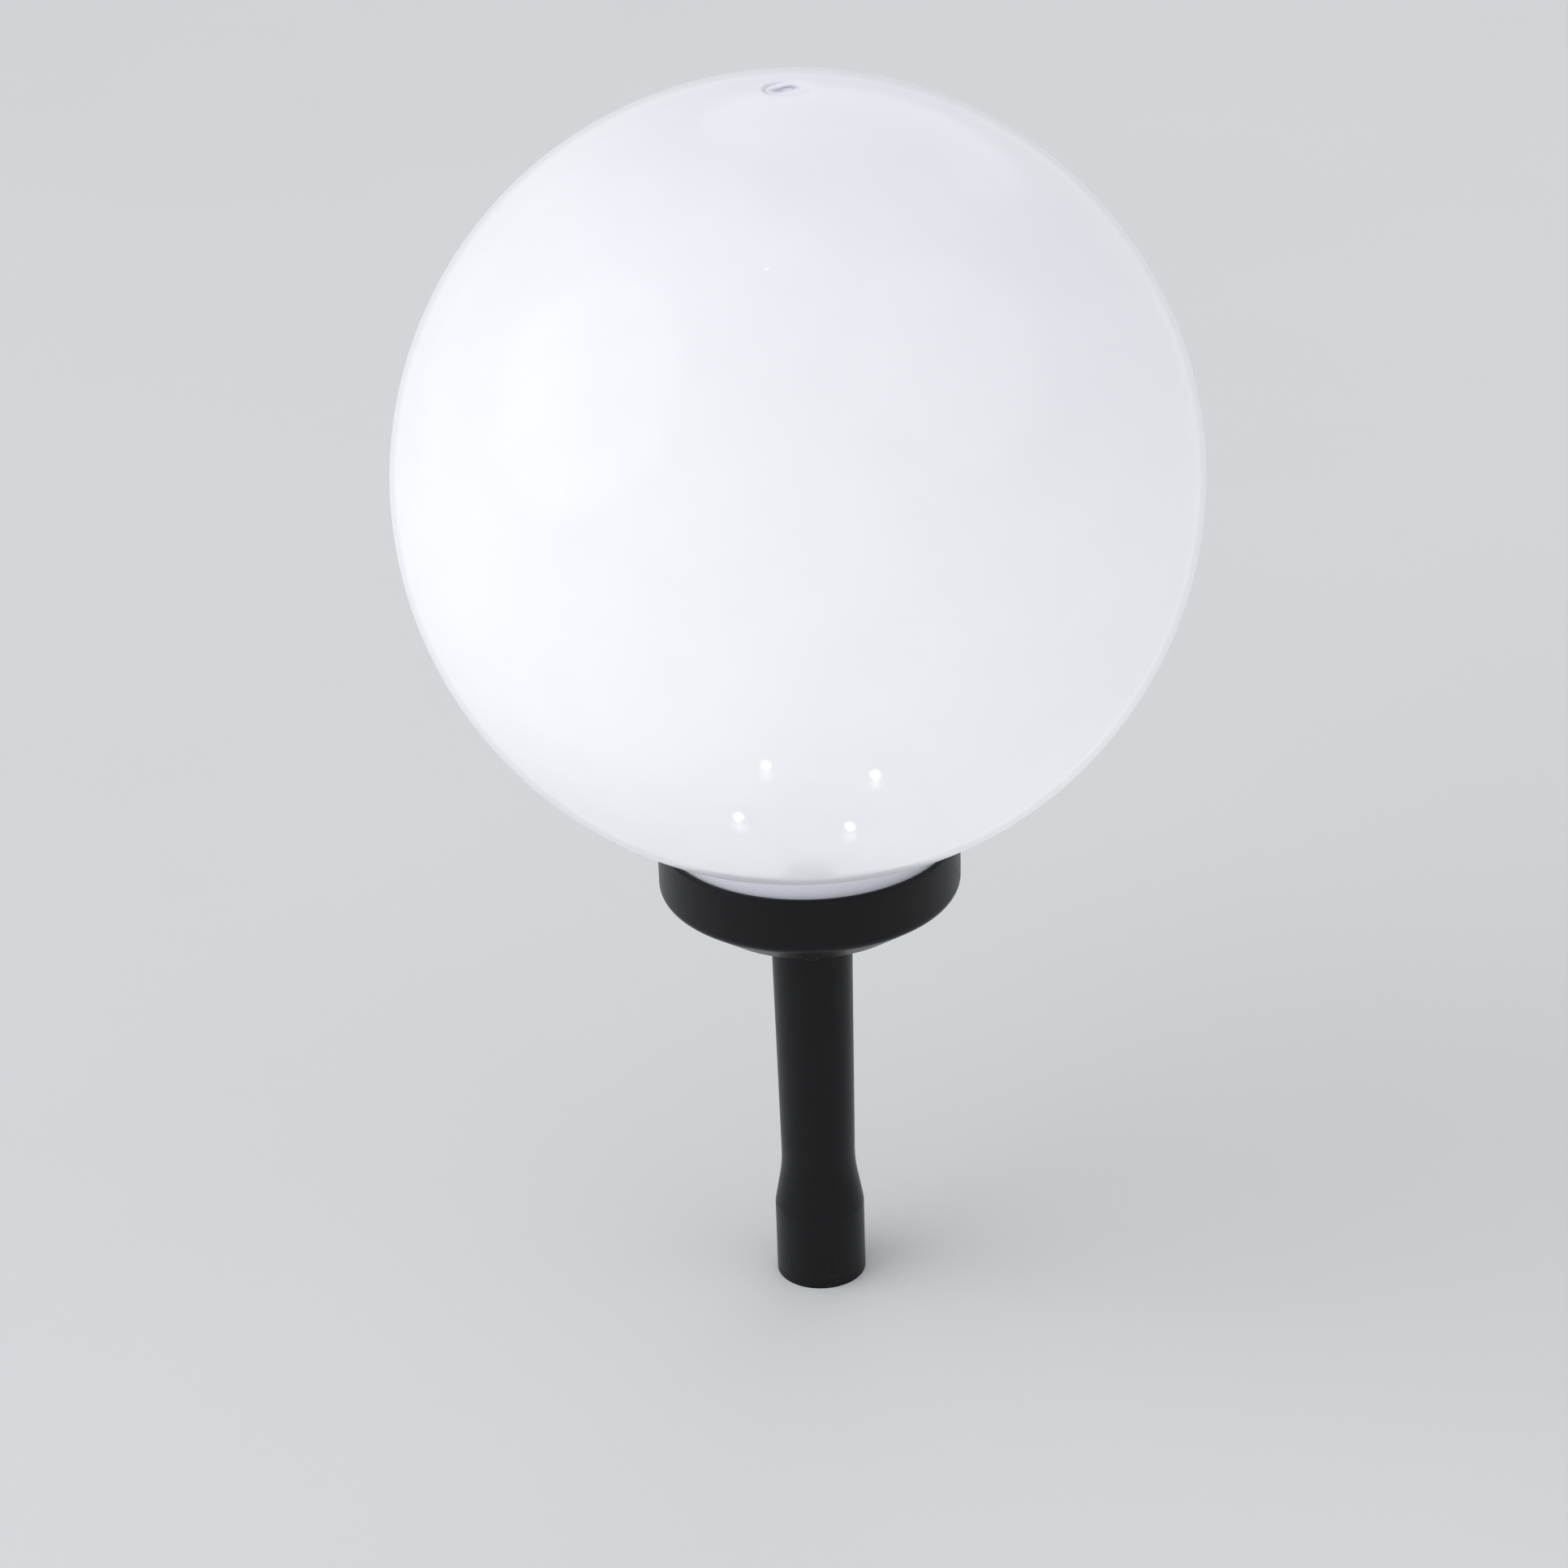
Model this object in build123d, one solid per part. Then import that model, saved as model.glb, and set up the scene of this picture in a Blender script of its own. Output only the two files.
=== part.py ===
from build123d import *
import math
import os

# Garden globe light: an opal globe on a black cup, a tapered post and a ground spike.
# Millimetres, +Z up. The origin is on the lamp's axis at ground level, and -Y faces the viewer.

# ---------------------------------------------------------------- driving dimensions
body_clear = 0.3            # between pieces that move against each other
seat_clear = 0.1            # round pieces that are pushed or dropped in and stay put
pilot_clear = 0.05          # between a screw and the hole that it cuts its thread in
slide_clear = 0.08          # round the switch button, in its bushing

# globe
globe_radius = 150.0
globe_wall = 2.2
neck_radius = 55.2          # outside of the collar that is the globe's short neck
neck_wall = 3.4
neck_show = 6.2             # neck that shows between the globe and the cup's rim
neck_reach = 16.3           # neck below the cup's rim
collar_flange_reach = 5.0   # flange inside the globe, beyond the neck
collar_flange_thickness = 2.0
gate_radius = 8.7           # round moulding mark at the pole
gate_depth = 0.7
gate_nub_radius = 2.4
gate_nub_height = 0.5

# screw neck: lugs inside the globe's neck run in helical grooves round the housing
thread_starts = 3
thread_lead = 48.0          # rise for one full turn
unscrew_angle = 90.0        # turn from tight to the open end of the groove
lug_arc = 18.0
lug_height = 4.0
lug_reach = 2.3             # how far a lug stands in from the neck's inner wall
lug_above_foot = 3.2        # middle of a lug above the neck's lower edge, at the lug's low end
groove_play = 0.4           # round a lug in its groove
groove_turn_play = 1.0      # degrees between a lug and the end of its groove
mouth_turn_play = 2.0       # degrees each side of a lug in the open mouth of its groove
mouth_deeper = 0.2          # mouth cut this much deeper than the groove
thread_turn = 20.0          # where the first lug starts, in degrees from +X

# seal ring in a groove outside the neck
seal_thickness = 2.4
seal_below_rim = 6.3

# cup
cup_play = 0.8              # between the neck and the cup's inner wall
cup_wall = 2.3
cup_taper_reach = 16.8      # how far the cup draws in from its side to its foot
cup_side_height = 21.6
cup_taper_height = 12.1
cup_rim_round = 0.8
cup_knee_round = 4.0
cup_foot_round = 1.5
cup_spigot_length = 25.0    # tapered plug that goes down into the post
cup_spigot_wall = 2.0

# post: a tapered tube whose lower end opens into a bell
post_length = 162.6
post_top_radius = 16.0
post_waist_radius = 14.6
post_waist_height = 46.5    # top of the bell's cone, above the post's lower edge
post_wall = 2.2
bell_radius = 17.8
bell_height = 28.5          # straight part of the bell
bell_shoulder_round = 12.0
bell_neck_round = 60.0

# ground spike: a hollow stub and a flange, as wide as the bell, over four tapering blades
spike_flange_thickness = 3.0
spike_flange_round = 0.4
spike_stub_length = 25.0
spike_stub_wall = 2.4
spike_blade_length = 172.0
spike_blade_thickness = 2.6
spike_blade_inset = 1.3     # a blade's edge inside the flange's edge
spike_blade_straight = 62.0
spike_point_radius = 1.6
spike_core_radius = 4.6
spike_web_radius = 12.0
spike_web_thickness = 2.0
spike_web_depth = 58.0

# housing of the electric module, inside the cup
drum_play = 0.5             # between the housing and the neck's inner wall
drum_wall = 4.3
drum_floor = 2.0
drum_above_floor = 8.1      # from the cup's inner floor to the housing's underside
drum_height = 26.0
drum_foot_chamfer = 1.0

# module plate and its gasket
plate_thickness = 2.0
plate_inset = 0.2           # plate edge inside the bottom of the grooves
gasket_thickness = 0.8
gasket_width = 1.6

# lamps: four 5 mm LEDs on a square that is turned about the axis
led_square = 43.4
led_square_turn = -14.0
led_radius = 2.5
led_height = 8.6
led_flange_radius = 2.9
led_flange_height = 1.0
led_leg_size = 0.5
led_leg_pitch = 2.54
led_boss_height = 2.7       # boss of the plate that a lamp stands on
led_collar_wall = 1.3
led_collar_height = 1.6

# solar panel in a recess of the plate
panel_side = 49.5
panel_thickness = 2.4
panel_recess = 0.8
panel_corner_round = 2.0
lead_radius = 0.6           # wires of the panel and the switch
lead_spread = 6.0

# circuit board under the plate, and what is on it
board_play = 0.8            # between the board and the screw posts round it
board_thickness = 1.6
board_drop = 4.6            # from the plate's underside to the board
board_screw_circle = 20.0
board_screw_count = 3
board_boss_radius = 2.8
inductor_radius = 3.6
inductor_height = 9.0
inductor_angle = 59.0       # from +X, as for the capacitor
capacitor_radius = 3.0
capacitor_height = 10.0
capacitor_angle = 88.0
component_inset = 3.8       # between the board's edge and what hangs under it
chip_size = (4.9, 3.9, 1.5)
chip_place = (-6.0, -24.5)
chip_leg_reach = 0.9

# battery cells, size AA, with springs and contact plates
cell_radius = 7.25
cell_length = 50.5          # with its button
cell_button_radius = 2.7
cell_button_height = 1.0
cell_pitch = 15.4
cell_lift = 0.5             # cell above the housing's floor
contact_thickness = 0.4
contact_width = 11.0
contact_height = 12.0
contact_dimple_radius = 2.2
contact_dimple_height = 0.9
contact_tail_width = 3.0
spring_length = 3.1         # as squeezed behind a cell
spring_wire = 0.7
spring_radius = 4.0
spring_turns = 2.25
cradle_thickness = 2.0
cradle_offset = 17.0
holder_thickness = 2.0

# screws: shank, head and cross recess
screw_radius = 1.45
screw_head_radius = 2.8
screw_head_height = 1.8
small_screw_radius = 1.05
small_screw_head_radius = 2.1
small_screw_head_height = 1.4
hole_play = 0.25            # round a screw in the piece that it only passes through
recess_width = 0.7
recess_depth = 0.9
plate_screw_inset = 4.5     # from the housing's inner wall to the middle of a screw
plate_screw_count = 4
plate_screw_length = 14.0
plate_post_radius = 3.2
housing_screw_inset = 7.5   # from the cup's foot edge to the middle of a screw
housing_screw_angles = (90, 225, 315)
housing_screw_grip = 5.5    # thread in the housing
housing_pad_radius = 4.2
housing_pad_height = 5.0
board_screw_length = 5.4

# push switch under the cup
switch_gap = 4.2            # between the post and the switch's washer, on the viewer's side
switch_side = 12.0
switch_height = 15.0
bushing_radius = 4.0
bushing_length = 4.2        # below the cup
washer_radius = 6.8
washer_thickness = 1.0
nut_across_flats = 11.0
nut_thickness = 2.2
button_radius = 2.7
button_show = 3.8           # button below the bushing
button_travel = 2.0
button_collar_reach = 0.6
button_collar_height = 1.0
button_round = 0.8
terminal_size = (0.6, 2.2, 4.0)
terminal_spread = 5.0

# ---------------------------------------------------------------- heights and radii worked out
post_low = spike_flange_thickness
post_top = post_low + post_length
cup_knee = post_top + cup_taper_height
cup_rim = cup_knee + cup_side_height
cup_floor = post_top + cup_wall
cup_inner_radius = neck_radius + cup_play
cup_radius = cup_inner_radius + cup_wall
cup_foot_radius = cup_radius - cup_taper_reach
switch_place = (0.0, -(post_top_radius + switch_gap + washer_radius))
neck_top = cup_rim + neck_show
neck_foot = cup_rim - neck_reach
neck_inner_radius = neck_radius - neck_wall
seal_radius = cup_inner_radius - body_clear - seal_thickness / 2
seal_height = cup_rim - seal_below_rim
globe_centre = neck_top + math.sqrt(globe_radius**2 - neck_radius**2)
thread_rise = thread_lead * unscrew_angle / 360
lug_inner_radius = neck_inner_radius - lug_reach
lug_low = neck_foot + lug_above_foot
groove_radius = lug_inner_radius - groove_play
drum_radius = neck_inner_radius - drum_play
drum_inner_radius = drum_radius - drum_wall
drum_low = cup_floor + drum_above_floor
drum_top = drum_low + drum_height
drum_inner_floor = drum_low + drum_floor
plate_screw_circle = drum_inner_radius - plate_screw_inset
plate_low = drum_top + gasket_thickness
plate_top = plate_low + plate_thickness
plate_radius = groove_radius - mouth_deeper - plate_inset
lamp_seat = plate_top + led_boss_height
board_radius = plate_screw_circle - plate_post_radius - board_play
board_top = plate_low - board_drop
board_low = board_top - board_thickness
cell_height = drum_inner_floor + cell_lift + cell_radius
contact_low = cell_height - contact_height / 2
led_circle = led_square / math.sqrt(2)
led_angle = 45 + led_square_turn
bay_length = cell_length + contact_dimple_height + spring_length
BOTTOM = (Align.CENTER, Align.CENTER, Align.MIN)


# ---------------------------------------------------------------- small helpers
def on_circle(radius, angle):
    """The (x, y) place on a circle at an angle in degrees from +X."""
    return radius * math.cos(math.radians(angle)), radius * math.sin(math.radians(angle))


def rod(radius, low, high, x=0.0, y=0.0):
    """An upright cylinder between two heights."""
    return Pos(x, y, low) * Cylinder(radius, high - low, align=BOTTOM)


def ring(outer, inner, low, high, x=0.0, y=0.0):
    """An upright tube between two heights."""
    return rod(outer, low, high, x, y) - rod(inner, low, high, x, y)


def block(width, depth, low, high, x=0.0, y=0.0):
    """An upright box between two heights."""
    return Pos(x, y, low) * Box(width, depth, high - low, align=BOTTOM)


def lathe(points, rounds=()):
    """Turn an outline of (radius, height) points about the axis. rounds holds (corner index, radius)."""
    outline = Plane.XZ * make_face(Polyline(*points, close=True))
    for index, radius in rounds:
        x, z = points[index]
        corner = outline.vertices().sort_by_distance((x, 0, z))[0]
        outline = fillet(corner, radius)
    return revolve(outline, Axis.Z)


def circle_places(radius, count, start):
    """Evenly spaced (x, y) places on a circle, from a start angle in degrees."""
    return [on_circle(radius, start + 360 * k / count) for k in range(count)]


def helical_bar(inner, outer, height, start, arc, level):
    """A bar that climbs round the axis. level is its middle height at angle 0."""
    path = Helix(pitch=thread_lead, height=thread_lead * arc / 360, radius=(inner + outer) / 2)
    section = Plane(origin=path @ 0, x_dir=(1, 0, 0), z_dir=path % 0) * Rectangle(outer - inner, height)
    bar = sweep(section, path=path, is_frenet=True)
    return Pos(0, 0, level + thread_lead * start / 360) * Rot(0, 0, start) * bar


def sector(inner, outer, low, high, start, arc):
    """A slice of an upright ring."""
    middle = ((inner + outer) / 2, (low + high) / 2)
    section = Plane.XZ * Pos(middle[0], middle[1]) * Rectangle(outer - inner, high - low)
    return Rot(0, 0, start) * revolve(section, Axis.Z, revolution_arc=arc)


def cross_recess(half_length, low, high):
    """The cross that a screwdriver goes in."""
    bar = block(2 * half_length, recess_width, low, high)
    return bar + Rot(0, 0, 90) * bar


def screw(shank, head, head_height, length):
    """A pan-head screw with its head's seat at height 0, pointing down."""
    top = rod(head, 0, head_height)
    top = fillet(top.edges().sort_by(Axis.Z)[-1], head_height * 0.45)
    tip = shank * 0.5
    pin = rod(shank, tip - length, 0) + Pos(0, 0, tip - length) * Cone(tip, shank, tip, align=(
        Align.CENTER, Align.CENTER, Align.MAX))
    return top + pin - cross_recess(head * 0.6, head_height - recess_depth, head_height)


def tube_bore(height):
    """Inner radius of the post's tapered part at a height."""
    waist = post_low + post_waist_height
    share = (height - waist) / (post_top - waist)
    return post_waist_radius + share * (post_top_radius - post_waist_radius) - post_wall


def housing_screw_places():
    return [on_circle(cup_foot_radius - housing_screw_inset, a) for a in housing_screw_angles]


# ---------------------------------------------------------------- what stands in the ground
def make_ground_spike():
    bore = bell_radius - post_wall
    top = spike_flange_thickness + spike_stub_length
    blade_reach = bell_radius - spike_blade_inset
    flange = rod(bell_radius, 0, spike_flange_thickness)
    flange = fillet(flange.edges().group_by(Axis.Z)[-1], spike_flange_round)
    stub = rod(bore - seat_clear, spike_flange_thickness, top)
    stub = chamfer(stub.edges().group_by(Axis.Z)[-1], spike_stub_wall / 3)
    stub -= rod(bore - seat_clear - spike_stub_wall, spike_flange_thickness, top)
    blade_outline = Plane.XZ * make_face(Polyline(
        (-blade_reach, 0), (blade_reach, 0), (blade_reach, -spike_blade_straight),
        (spike_point_radius, -spike_blade_length), (-spike_point_radius, -spike_blade_length),
        (-blade_reach, -spike_blade_straight), close=True))
    blade = extrude(blade_outline, spike_blade_thickness / 2, both=True)
    core = Pos(0, 0, -spike_blade_length) * Cone(
        spike_point_radius, spike_core_radius, spike_blade_length, align=BOTTOM)
    web = rod(spike_web_radius, -spike_web_depth - spike_web_thickness, -spike_web_depth)
    return flange + stub + blade + Rot(0, 0, 90) * blade + core + web


def make_post_tube():
    waist = post_low + post_waist_height
    bell_top = post_low + bell_height
    outline = [
        (bell_radius - post_wall, post_low), (bell_radius, post_low), (bell_radius, bell_top),
        (post_waist_radius, waist), (post_top_radius, post_top),
        (post_top_radius - post_wall, post_top), (post_waist_radius - post_wall, waist),
        (bell_radius - post_wall, bell_top)]
    rounds = [(2, bell_shoulder_round), (3, bell_neck_round), (6, bell_neck_round)]
    return lathe(outline, rounds)


# ---------------------------------------------------------------- cup and what closes it
def make_base_cup():
    slope = (cup_radius - cup_foot_radius) / cup_taper_height
    taper_wall = cup_wall * math.hypot(slope, 1)
    inner_foot = cup_foot_radius + slope * cup_wall - taper_wall
    inner_knee = cup_knee + (taper_wall - cup_wall) / slope
    outline = [
        (0, post_top), (cup_foot_radius, post_top), (cup_radius, cup_knee), (cup_radius, cup_rim),
        (cup_inner_radius, cup_rim), (cup_inner_radius, inner_knee), (inner_foot, cup_floor),
        (0, cup_floor)]
    rounds = [(1, cup_foot_round), (2, cup_knee_round), (3, cup_rim_round), (4, cup_rim_round / 2)]
    cup = lathe(outline, rounds)
    spigot_end = post_top - cup_spigot_length
    top_radius = tube_bore(post_top) - seat_clear
    end_radius = tube_bore(spigot_end) - seat_clear
    cup += lathe([
        (top_radius - cup_spigot_wall, post_top), (top_radius, post_top), (end_radius, spigot_end),
        (end_radius - cup_spigot_wall, spigot_end)])
    head_seat = post_top + screw_head_height + seat_clear
    for x, y in housing_screw_places():
        cup += rod(screw_head_radius + seat_clear + cup_wall / 2, post_top, drum_low, x, y)
        cup -= rod(screw_head_radius + seat_clear, post_top, head_seat, x, y)
        cup -= rod(screw_radius + hole_play, head_seat, drum_low, x, y)
    return cup - rod(bushing_radius + seat_clear, post_top, cup_floor, *switch_place)


def make_switch_body():
    x, y = switch_place
    top = cup_floor + switch_height
    chamber_top = cup_floor + button_collar_height + button_travel + 2 * body_clear
    body = block(switch_side, switch_side, cup_floor, top, x, y)
    body = chamfer(body.edges().filter_by(Axis.Z), 1.0)
    body += rod(bushing_radius, post_top - bushing_length, cup_floor, x, y)
    body -= rod(button_radius + slide_clear, post_top - bushing_length, chamber_top, x, y)
    body -= rod(button_radius + button_collar_reach + body_clear, cup_floor, chamber_top, x, y)
    for side in (-1, 1):
        width, depth, height = terminal_size
        body += block(width, depth, top, top + height, x + side * terminal_spread / 2, y)
    return body


def make_switch_button():
    x, y = switch_place
    low = post_top - bushing_length - button_show
    collar_low = cup_floor + body_clear
    pin = rod(button_radius, low, collar_low + button_collar_height, x, y)
    pin = fillet(pin.edges().group_by(Axis.Z)[0], button_round)
    collar_top = collar_low + button_collar_height
    return pin + rod(button_radius + button_collar_reach, collar_low, collar_top, x, y)


def make_switch_washer():
    inner = bushing_radius + seat_clear
    return ring(washer_radius, inner, post_top - washer_thickness, post_top, *switch_place)


def make_switch_nut():
    x, y = switch_place
    top = post_top - washer_thickness
    hexagon = Pos(x, y, top - nut_thickness) * RegularPolygon(nut_across_flats / 2, 6, major_radius=False)
    nut = extrude(hexagon, nut_thickness)
    return nut - rod(bushing_radius + seat_clear, top - nut_thickness, top, x, y)


def make_switch_leads():
    x, y = switch_place
    low = cup_floor + switch_height + terminal_size[2]
    return [rod(lead_radius, low, board_low, x + side * terminal_spread / 2, y) for side in (-1, 1)]


def make_housing_screws():
    length = drum_low + housing_screw_grip - post_top - screw_head_height - seat_clear
    part = Rot(180, 0, 0) * screw(screw_radius, screw_head_radius, screw_head_height, length)
    seat = post_top + screw_head_height + seat_clear
    return [Pos(x, y, seat) * part for x, y in housing_screw_places()]


# ---------------------------------------------------------------- module housing and plate
def plate_screw_places():
    return circle_places(plate_screw_circle, plate_screw_count, led_angle + 45)


def board_screw_places():
    return circle_places(board_screw_circle, board_screw_count, led_angle + 45)


def led_places():
    return circle_places(led_circle, 4, led_angle)


def make_module_housing():
    drum = rod(drum_radius, drum_low, drum_top)
    drum = chamfer(drum.edges().group_by(Axis.Z)[0], drum_foot_chamfer)
    drum -= rod(drum_inner_radius, drum_inner_floor, drum_top)
    for x, y in plate_screw_places():
        drum += rod(plate_post_radius, drum_low, plate_low, x, y)
        drum -= rod(screw_radius + pilot_clear, plate_low - plate_screw_length, plate_low, x, y)
    for x, y in housing_screw_places():
        drum += rod(housing_pad_radius, drum_low, drum_inner_floor + housing_pad_height, x, y)
        drum -= rod(screw_radius + pilot_clear, drum_low, drum_low + housing_screw_grip, x, y)
    for side in (-1, 1):
        cradle = block(cradle_thickness, 2 * cell_pitch, drum_low, cell_height, side * cradle_offset)
        drum += cradle
        middle = side * (bay_length / 2 + contact_thickness + holder_thickness / 2 + seat_clear)
        width = cell_pitch + contact_width + 2 * holder_thickness
        drum += block(holder_thickness, width, drum_low, contact_low + contact_height, middle)
    for side in (-1, 1):
        cell_room = Cylinder(cell_radius + seat_clear, bay_length)
        drum -= Pos(0, side * cell_pitch / 2, cell_height) * Rot(0, 90, 0) * cell_room
    opening = switch_side + 2 * body_clear
    drum -= block(opening, opening, drum_low, drum_inner_floor, *switch_place)
    beyond = drum_radius + 1
    low_end = lug_low + lug_height / 2 + thread_rise
    for k in range(thread_starts):
        start = thread_turn + 360 * k / thread_starts
        climb = lug_arc + unscrew_angle + 2 * groove_turn_play
        level = lug_low + lug_height / 2 - thread_lead * start / 360
        drum -= helical_bar(groove_radius, beyond, lug_height + 2 * groove_play,
                            start - groove_turn_play, climb, level)
        drum -= sector(groove_radius - mouth_deeper, beyond, low_end, drum_top,
                       start + unscrew_angle - mouth_turn_play, lug_arc + 2 * mouth_turn_play)
    return drum


def make_plate_gasket():
    return ring(plate_radius, plate_radius - gasket_width, drum_top, plate_low)


def make_module_plate():
    plate = rod(plate_radius, plate_low, plate_top)
    plate = chamfer(plate.edges().group_by(Axis.Z)[-1], plate_thickness / 4)
    collar_bore = led_flange_radius + seat_clear
    for x, y in led_places():
        plate += rod(collar_bore + led_collar_wall, plate_low, lamp_seat + led_collar_height, x, y)
        plate -= rod(collar_bore, lamp_seat, lamp_seat + led_collar_height, x, y)
        plate -= rod(led_leg_pitch / 2 + led_leg_size, plate_low, lamp_seat, x, y)
    for x, y in board_screw_places():
        plate += rod(board_boss_radius, board_top, plate_low, x, y)
        plate -= rod(small_screw_radius + pilot_clear, board_top, plate_low, x, y)
    for x, y in plate_screw_places():
        plate -= rod(screw_radius + hole_play, plate_low, plate_top, x, y)
    recess = panel_side + 2 * seat_clear
    plate -= Rot(0, 0, led_angle) * block(recess, recess, plate_top - panel_recess, plate_top)
    for side in (-1, 1):
        plate -= rod(lead_radius + hole_play, plate_low, plate_top, side * lead_spread / 2)
    return plate


def make_plate_screws():
    part = screw(screw_radius, screw_head_radius, screw_head_height,
                 plate_thickness + plate_screw_length - 1)
    return [Pos(x, y, plate_top) * part for x, y in plate_screw_places()]


def make_solar_panel():
    low = plate_top - panel_recess
    panel = block(panel_side, panel_side, low, low + panel_thickness)
    panel = fillet(panel.edges().filter_by(Axis.Z), panel_corner_round)
    panel = chamfer(panel.edges().group_by(Axis.Z)[-1], panel_thickness / 4)
    return Rot(0, 0, led_angle) * panel


def make_panel_leads():
    low = plate_top - panel_recess
    return [rod(lead_radius, board_top, low, side * lead_spread / 2) for side in (-1, 1)]


# ---------------------------------------------------------------- lamps, board and its parts
def leg_offsets():
    """The two legs of a lamp stand either side of its middle, across the square."""
    return [(side * led_leg_pitch / 2, 0.0) for side in (-1, 1)]


def make_led(x, y):
    dome_height = lamp_seat + led_height - led_radius
    lamp = rod(led_flange_radius, lamp_seat, lamp_seat + led_flange_height)
    lamp += rod(led_radius, lamp_seat, dome_height)
    lamp += Pos(0, 0, dome_height) * Sphere(led_radius)
    for dx, dy in leg_offsets():
        lamp += block(led_leg_size, led_leg_size, board_low - led_leg_size, lamp_seat, dx, dy)
    return Pos(x, y, 0) * lamp


def make_led_board():
    board = rod(board_radius, board_low, board_top)
    for x, y in led_places():
        for dx, dy in leg_offsets():
            board -= rod(led_leg_size, board_low, board_top, x + dx, y + dy)
    for x, y in board_screw_places():
        board -= rod(small_screw_radius + hole_play, board_low, board_top, x, y)
    tail = contact_thickness + 2 * hole_play
    for side in (-1, 1):
        board -= block(tail, contact_tail_width + 2 * hole_play, board_low, board_top,
                       (bay_length + contact_thickness) / 2, side * cell_pitch / 2)
    return board


def make_board_screws():
    part = Rot(180, 0, 0) * screw(
        small_screw_radius, small_screw_head_radius, small_screw_head_height, board_screw_length)
    return [Pos(x, y, board_low) * part for x, y in board_screw_places()]


def make_charge_inductor():
    x, y = on_circle(board_radius - component_inset - inductor_radius, inductor_angle)
    low = board_low - inductor_height
    cheek = inductor_height / 6
    core = rod(inductor_radius, low, low + cheek, x, y)
    core += rod(inductor_radius, board_low - cheek, board_low, x, y)
    return core + rod(inductor_radius * 0.86, low, board_low, x, y)


def make_storage_capacitor():
    x, y = on_circle(board_radius - component_inset - capacitor_radius, capacitor_angle)
    low = board_low - capacitor_height
    can = rod(capacitor_radius, low, board_low, x, y)
    can = fillet(can.edges().group_by(Axis.Z)[0], capacitor_radius / 5)
    groove = capacitor_height / 10
    return can - ring(capacitor_radius + 1, capacitor_radius * 0.9, board_low - 2 * groove,
                      board_low - groove, x, y)


def make_driver_chip():
    x, y = chip_place
    width, depth, height = chip_size
    chip = block(width, depth, board_low - height, board_low, x, y)
    for k in (-1.5, -0.5, 0.5, 1.5):
        leg = block(led_leg_size, depth + 2 * chip_leg_reach, board_low - led_leg_size, board_low,
                    x + k * width / 4, y)
        chip += leg
    return chip


# ---------------------------------------------------------------- battery
def make_battery(side):
    """A cell along X. side is +1 or -1 and gives both its place in Y and where its button points."""
    length = cell_length - cell_button_height
    shell = Cylinder(cell_radius, length, align=BOTTOM)
    shell = fillet(shell.edges(), cell_radius / 12)
    cell = shell + rod(cell_button_radius, length, cell_length)
    cell = Pos(bay_length / 2 - contact_dimple_height - cell_length, 0, 0) * Rot(0, 90, 0) * cell
    return Pos(0, side * cell_pitch / 2, cell_height) * Rot(0, 0, 0 if side > 0 else 180) * cell


def make_battery_spring(side):
    """The spring behind a cell's flat end."""
    climb = spring_length - spring_wire - 2 * pilot_clear
    path = Helix(pitch=climb / spring_turns, height=climb, radius=spring_radius, cone_angle=12)
    section = Plane(origin=path @ 0, z_dir=path % 0) * RegularPolygon(spring_wire / 2, 6)
    coil = Pos(0, 0, spring_wire / 2 + pilot_clear) * sweep(section, path=path, is_frenet=True)
    coil = Pos(-bay_length / 2, 0, 0) * Rot(0, 90, 0) * coil
    return Pos(0, side * cell_pitch / 2, cell_height) * Rot(0, 0, 0 if side > 0 else 180) * coil


def contact_plate(width, y):
    """A contact plate at the +X end of the bay."""
    middle = (bay_length + contact_thickness) / 2
    return block(contact_thickness, width, contact_low, contact_low + contact_height, middle, y)


def contact_dimple(y):
    """The raised spot that a cell's button touches, at the +X end of the bay."""
    dimple = Cylinder(contact_dimple_radius, contact_dimple_height, align=BOTTOM)
    return Pos(bay_length / 2, y, cell_height) * Rot(0, -90, 0) * dimple


def make_bridge_contact():
    plate = contact_plate(cell_pitch + contact_width, 0) + contact_dimple(cell_pitch / 2)
    return Rot(0, 0, 180) * plate


def make_tab_contact(side):
    y = side * cell_pitch / 2
    plate = contact_plate(contact_width, y)
    middle = (bay_length + contact_thickness) / 2
    plate += block(contact_thickness, contact_tail_width, contact_low, board_top, middle, y)
    if side > 0:
        plate += contact_dimple(y)
    return plate


# ---------------------------------------------------------------- globe, its collar and its seal
def make_globe_shell():
    middle = Pos(0, 0, globe_centre)
    shell = middle * Sphere(globe_radius) - middle * Sphere(globe_radius - globe_wall)
    shell -= rod(neck_radius + seat_clear, neck_foot, globe_centre)
    pole = globe_centre + globe_radius
    gate_sag = globe_radius - math.sqrt(globe_radius**2 - gate_radius**2)
    dish_floor = pole - gate_sag - gate_depth
    shell -= rod(gate_radius, dish_floor, pole)
    return shell + rod(gate_nub_radius, dish_floor - globe_wall / 4, dish_floor + gate_nub_height)


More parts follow.
